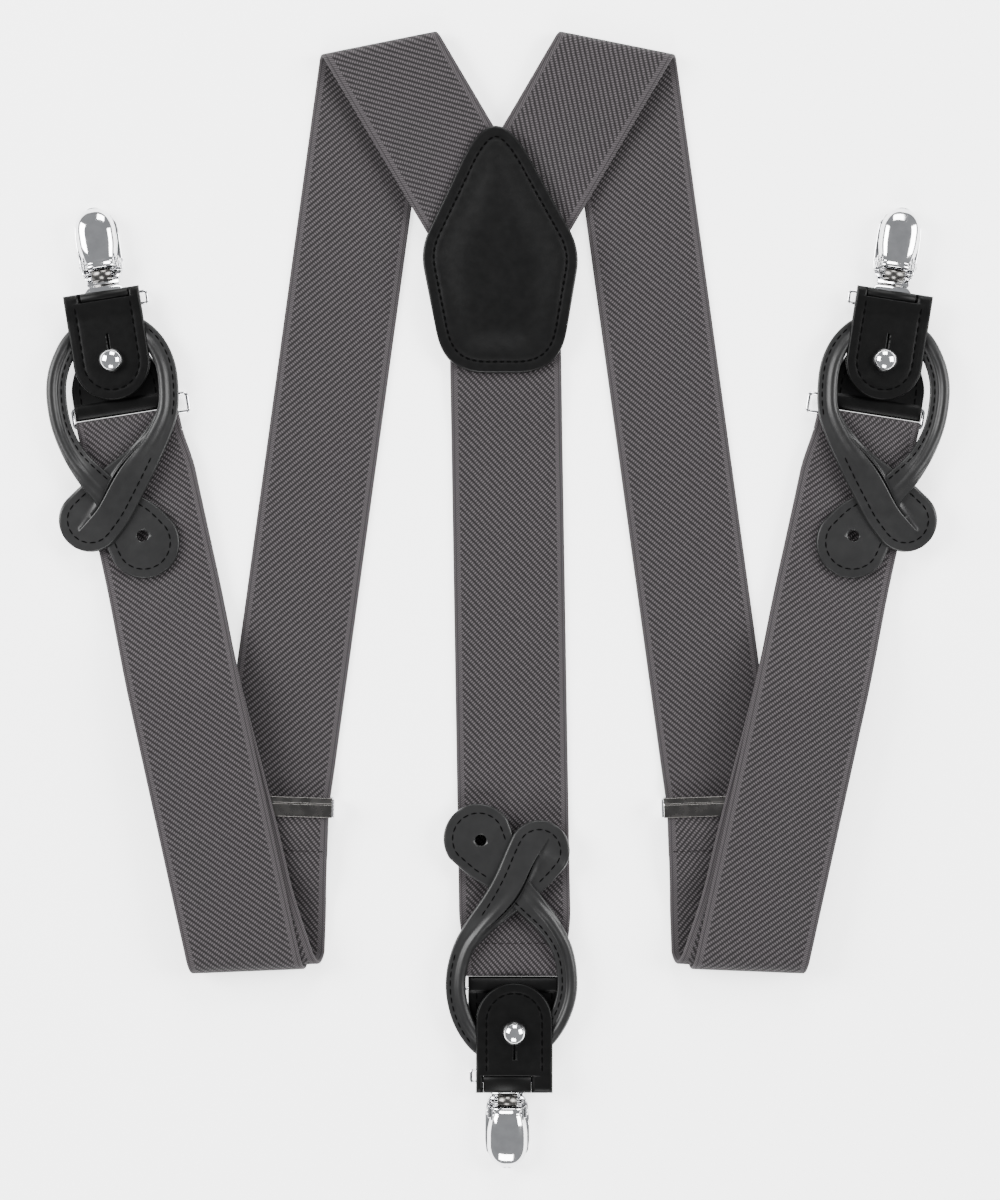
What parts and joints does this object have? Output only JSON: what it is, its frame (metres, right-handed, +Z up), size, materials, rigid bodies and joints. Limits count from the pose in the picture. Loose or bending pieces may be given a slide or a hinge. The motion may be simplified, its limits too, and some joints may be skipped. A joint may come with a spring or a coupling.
{
  "type": "suspenders",
  "caption": "Y-back dress suspenders laid flat: wide twill webbing folded in a V on each side, leather patch, adjusters, button loops and sprung clips.",
  "frame": {"origin": "bottom centre of the box round the laid-out suspenders, on the table", "axes": "+Z up from the table, +Y from the back clip to the top folds, +X to the right seen from above"},
  "size_m": [0.2822, 0.3568, 0.0107],
  "materials": {
    "webbing": "matte twill",
    "patch_leather": "smooth satin",
    "tab_leather": "smooth satin",
    "loop_leather": "smooth satin",
    "chrome": "mirror",
    "nickel": "dark polished"
  },
  "bodies": {
    "straps": {"back_strap": "webbing", "patch_front": "patch_leather", "patch_back": "patch_leather", "left_front_strap": "webbing", "left_return_strap": "webbing", "right_front_strap": "webbing", "right_return_strap": "webbing", "left_webbing_ring": "chrome", "left_connector": "tab_leather", "left_tab_ring": "chrome", "left_clip_tab": "tab_leather", "left_stud": "chrome", "left_stud_base": "nickel", "left_button_loop": "loop_leather", "right_webbing_ring": "chrome", "right_connector": "tab_leather", "right_tab_ring": "chrome", "right_clip_tab": "tab_leather", "right_stud": "chrome", "right_stud_base": "nickel", "right_button_loop": "loop_leather", "back_webbing_ring": "chrome", "back_connector": "tab_leather", "back_tab_ring": "chrome", "back_clip_tab": "tab_leather", "back_stud": "chrome", "back_stud_base": "nickel", "back_button_loop": "loop_leather"},
    "left_clip": {"left_clip_base": "chrome", "left_clip_pin": "chrome", "left_clip_spring": "nickel"},
    "left_jaw": {"left_clip_jaw": "chrome"},
    "right_clip": {"right_clip_base": "chrome", "right_clip_pin": "chrome", "right_clip_spring": "nickel"},
    "right_jaw": {"right_clip_jaw": "chrome"},
    "back_clip": {"back_clip_base": "chrome", "back_clip_pin": "chrome", "back_clip_spring": "nickel"},
    "back_jaw": {"back_clip_jaw": "chrome"},
    "left_slide": {"left_adjuster": "nickel"},
    "right_slide": {"right_adjuster": "nickel"}
  },
  "joints": [
    {"name": "left_clip_swing", "type": "hinge", "parent": "straps", "child": "left_clip", "pos_m": [-0.12304, 0.09505, 0.0061], "axis": [0.988, 0.1547, 0], "range_deg": [-20, 75]},
    {"name": "left_jaw_open", "type": "hinge", "parent": "left_clip", "child": "left_jaw", "pos_m": [-0.12463, 0.10523, 0.0046], "axis": [0.988, 0.1547, 0], "range_deg": [0, 55], "stiffness_Nm_per_rad": 0.05, "springref_deg": -20.05, "deforming": ["left_clip_spring"]},
    {"name": "right_clip_swing", "type": "hinge", "parent": "straps", "child": "right_clip", "pos_m": [0.12304, 0.09505, 0.0061], "axis": [0.988, -0.1547, 0], "range_deg": [-20, 75]},
    {"name": "right_jaw_open", "type": "hinge", "parent": "right_clip", "child": "right_jaw", "pos_m": [0.12463, 0.10523, 0.0046], "axis": [0.988, -0.1547, 0], "range_deg": [0, 55], "stiffness_Nm_per_rad": 0.05, "springref_deg": -20.05, "deforming": ["right_clip_spring"]},
    {"name": "back_clip_swing", "type": "hinge", "parent": "straps", "child": "back_clip", "pos_m": [0.0029, -0.1499, 0.0061], "axis": [-1, 0, 0], "range_deg": [-20, 75]},
    {"name": "back_jaw_open", "type": "hinge", "parent": "back_clip", "child": "back_jaw", "pos_m": [0.0029, -0.1602, 0.0046], "axis": [-1, 0, 0], "range_deg": [0, 55], "stiffness_Nm_per_rad": 0.05, "springref_deg": -20.05, "deforming": ["back_clip_spring"]},
    {"name": "left_adjuster_slide", "type": "slide", "parent": "straps", "child": "left_slide", "axis": [0.1357, 0.9907, 0], "range_m": [-0.008, 0.1], "deforming": ["left_front_strap", "left_return_strap"]},
    {"name": "right_adjuster_slide", "type": "slide", "parent": "straps", "child": "right_slide", "axis": [-0.1357, 0.9907, 0], "range_m": [-0.008, 0.1], "deforming": ["right_front_strap", "right_return_strap"]}
  ]
}
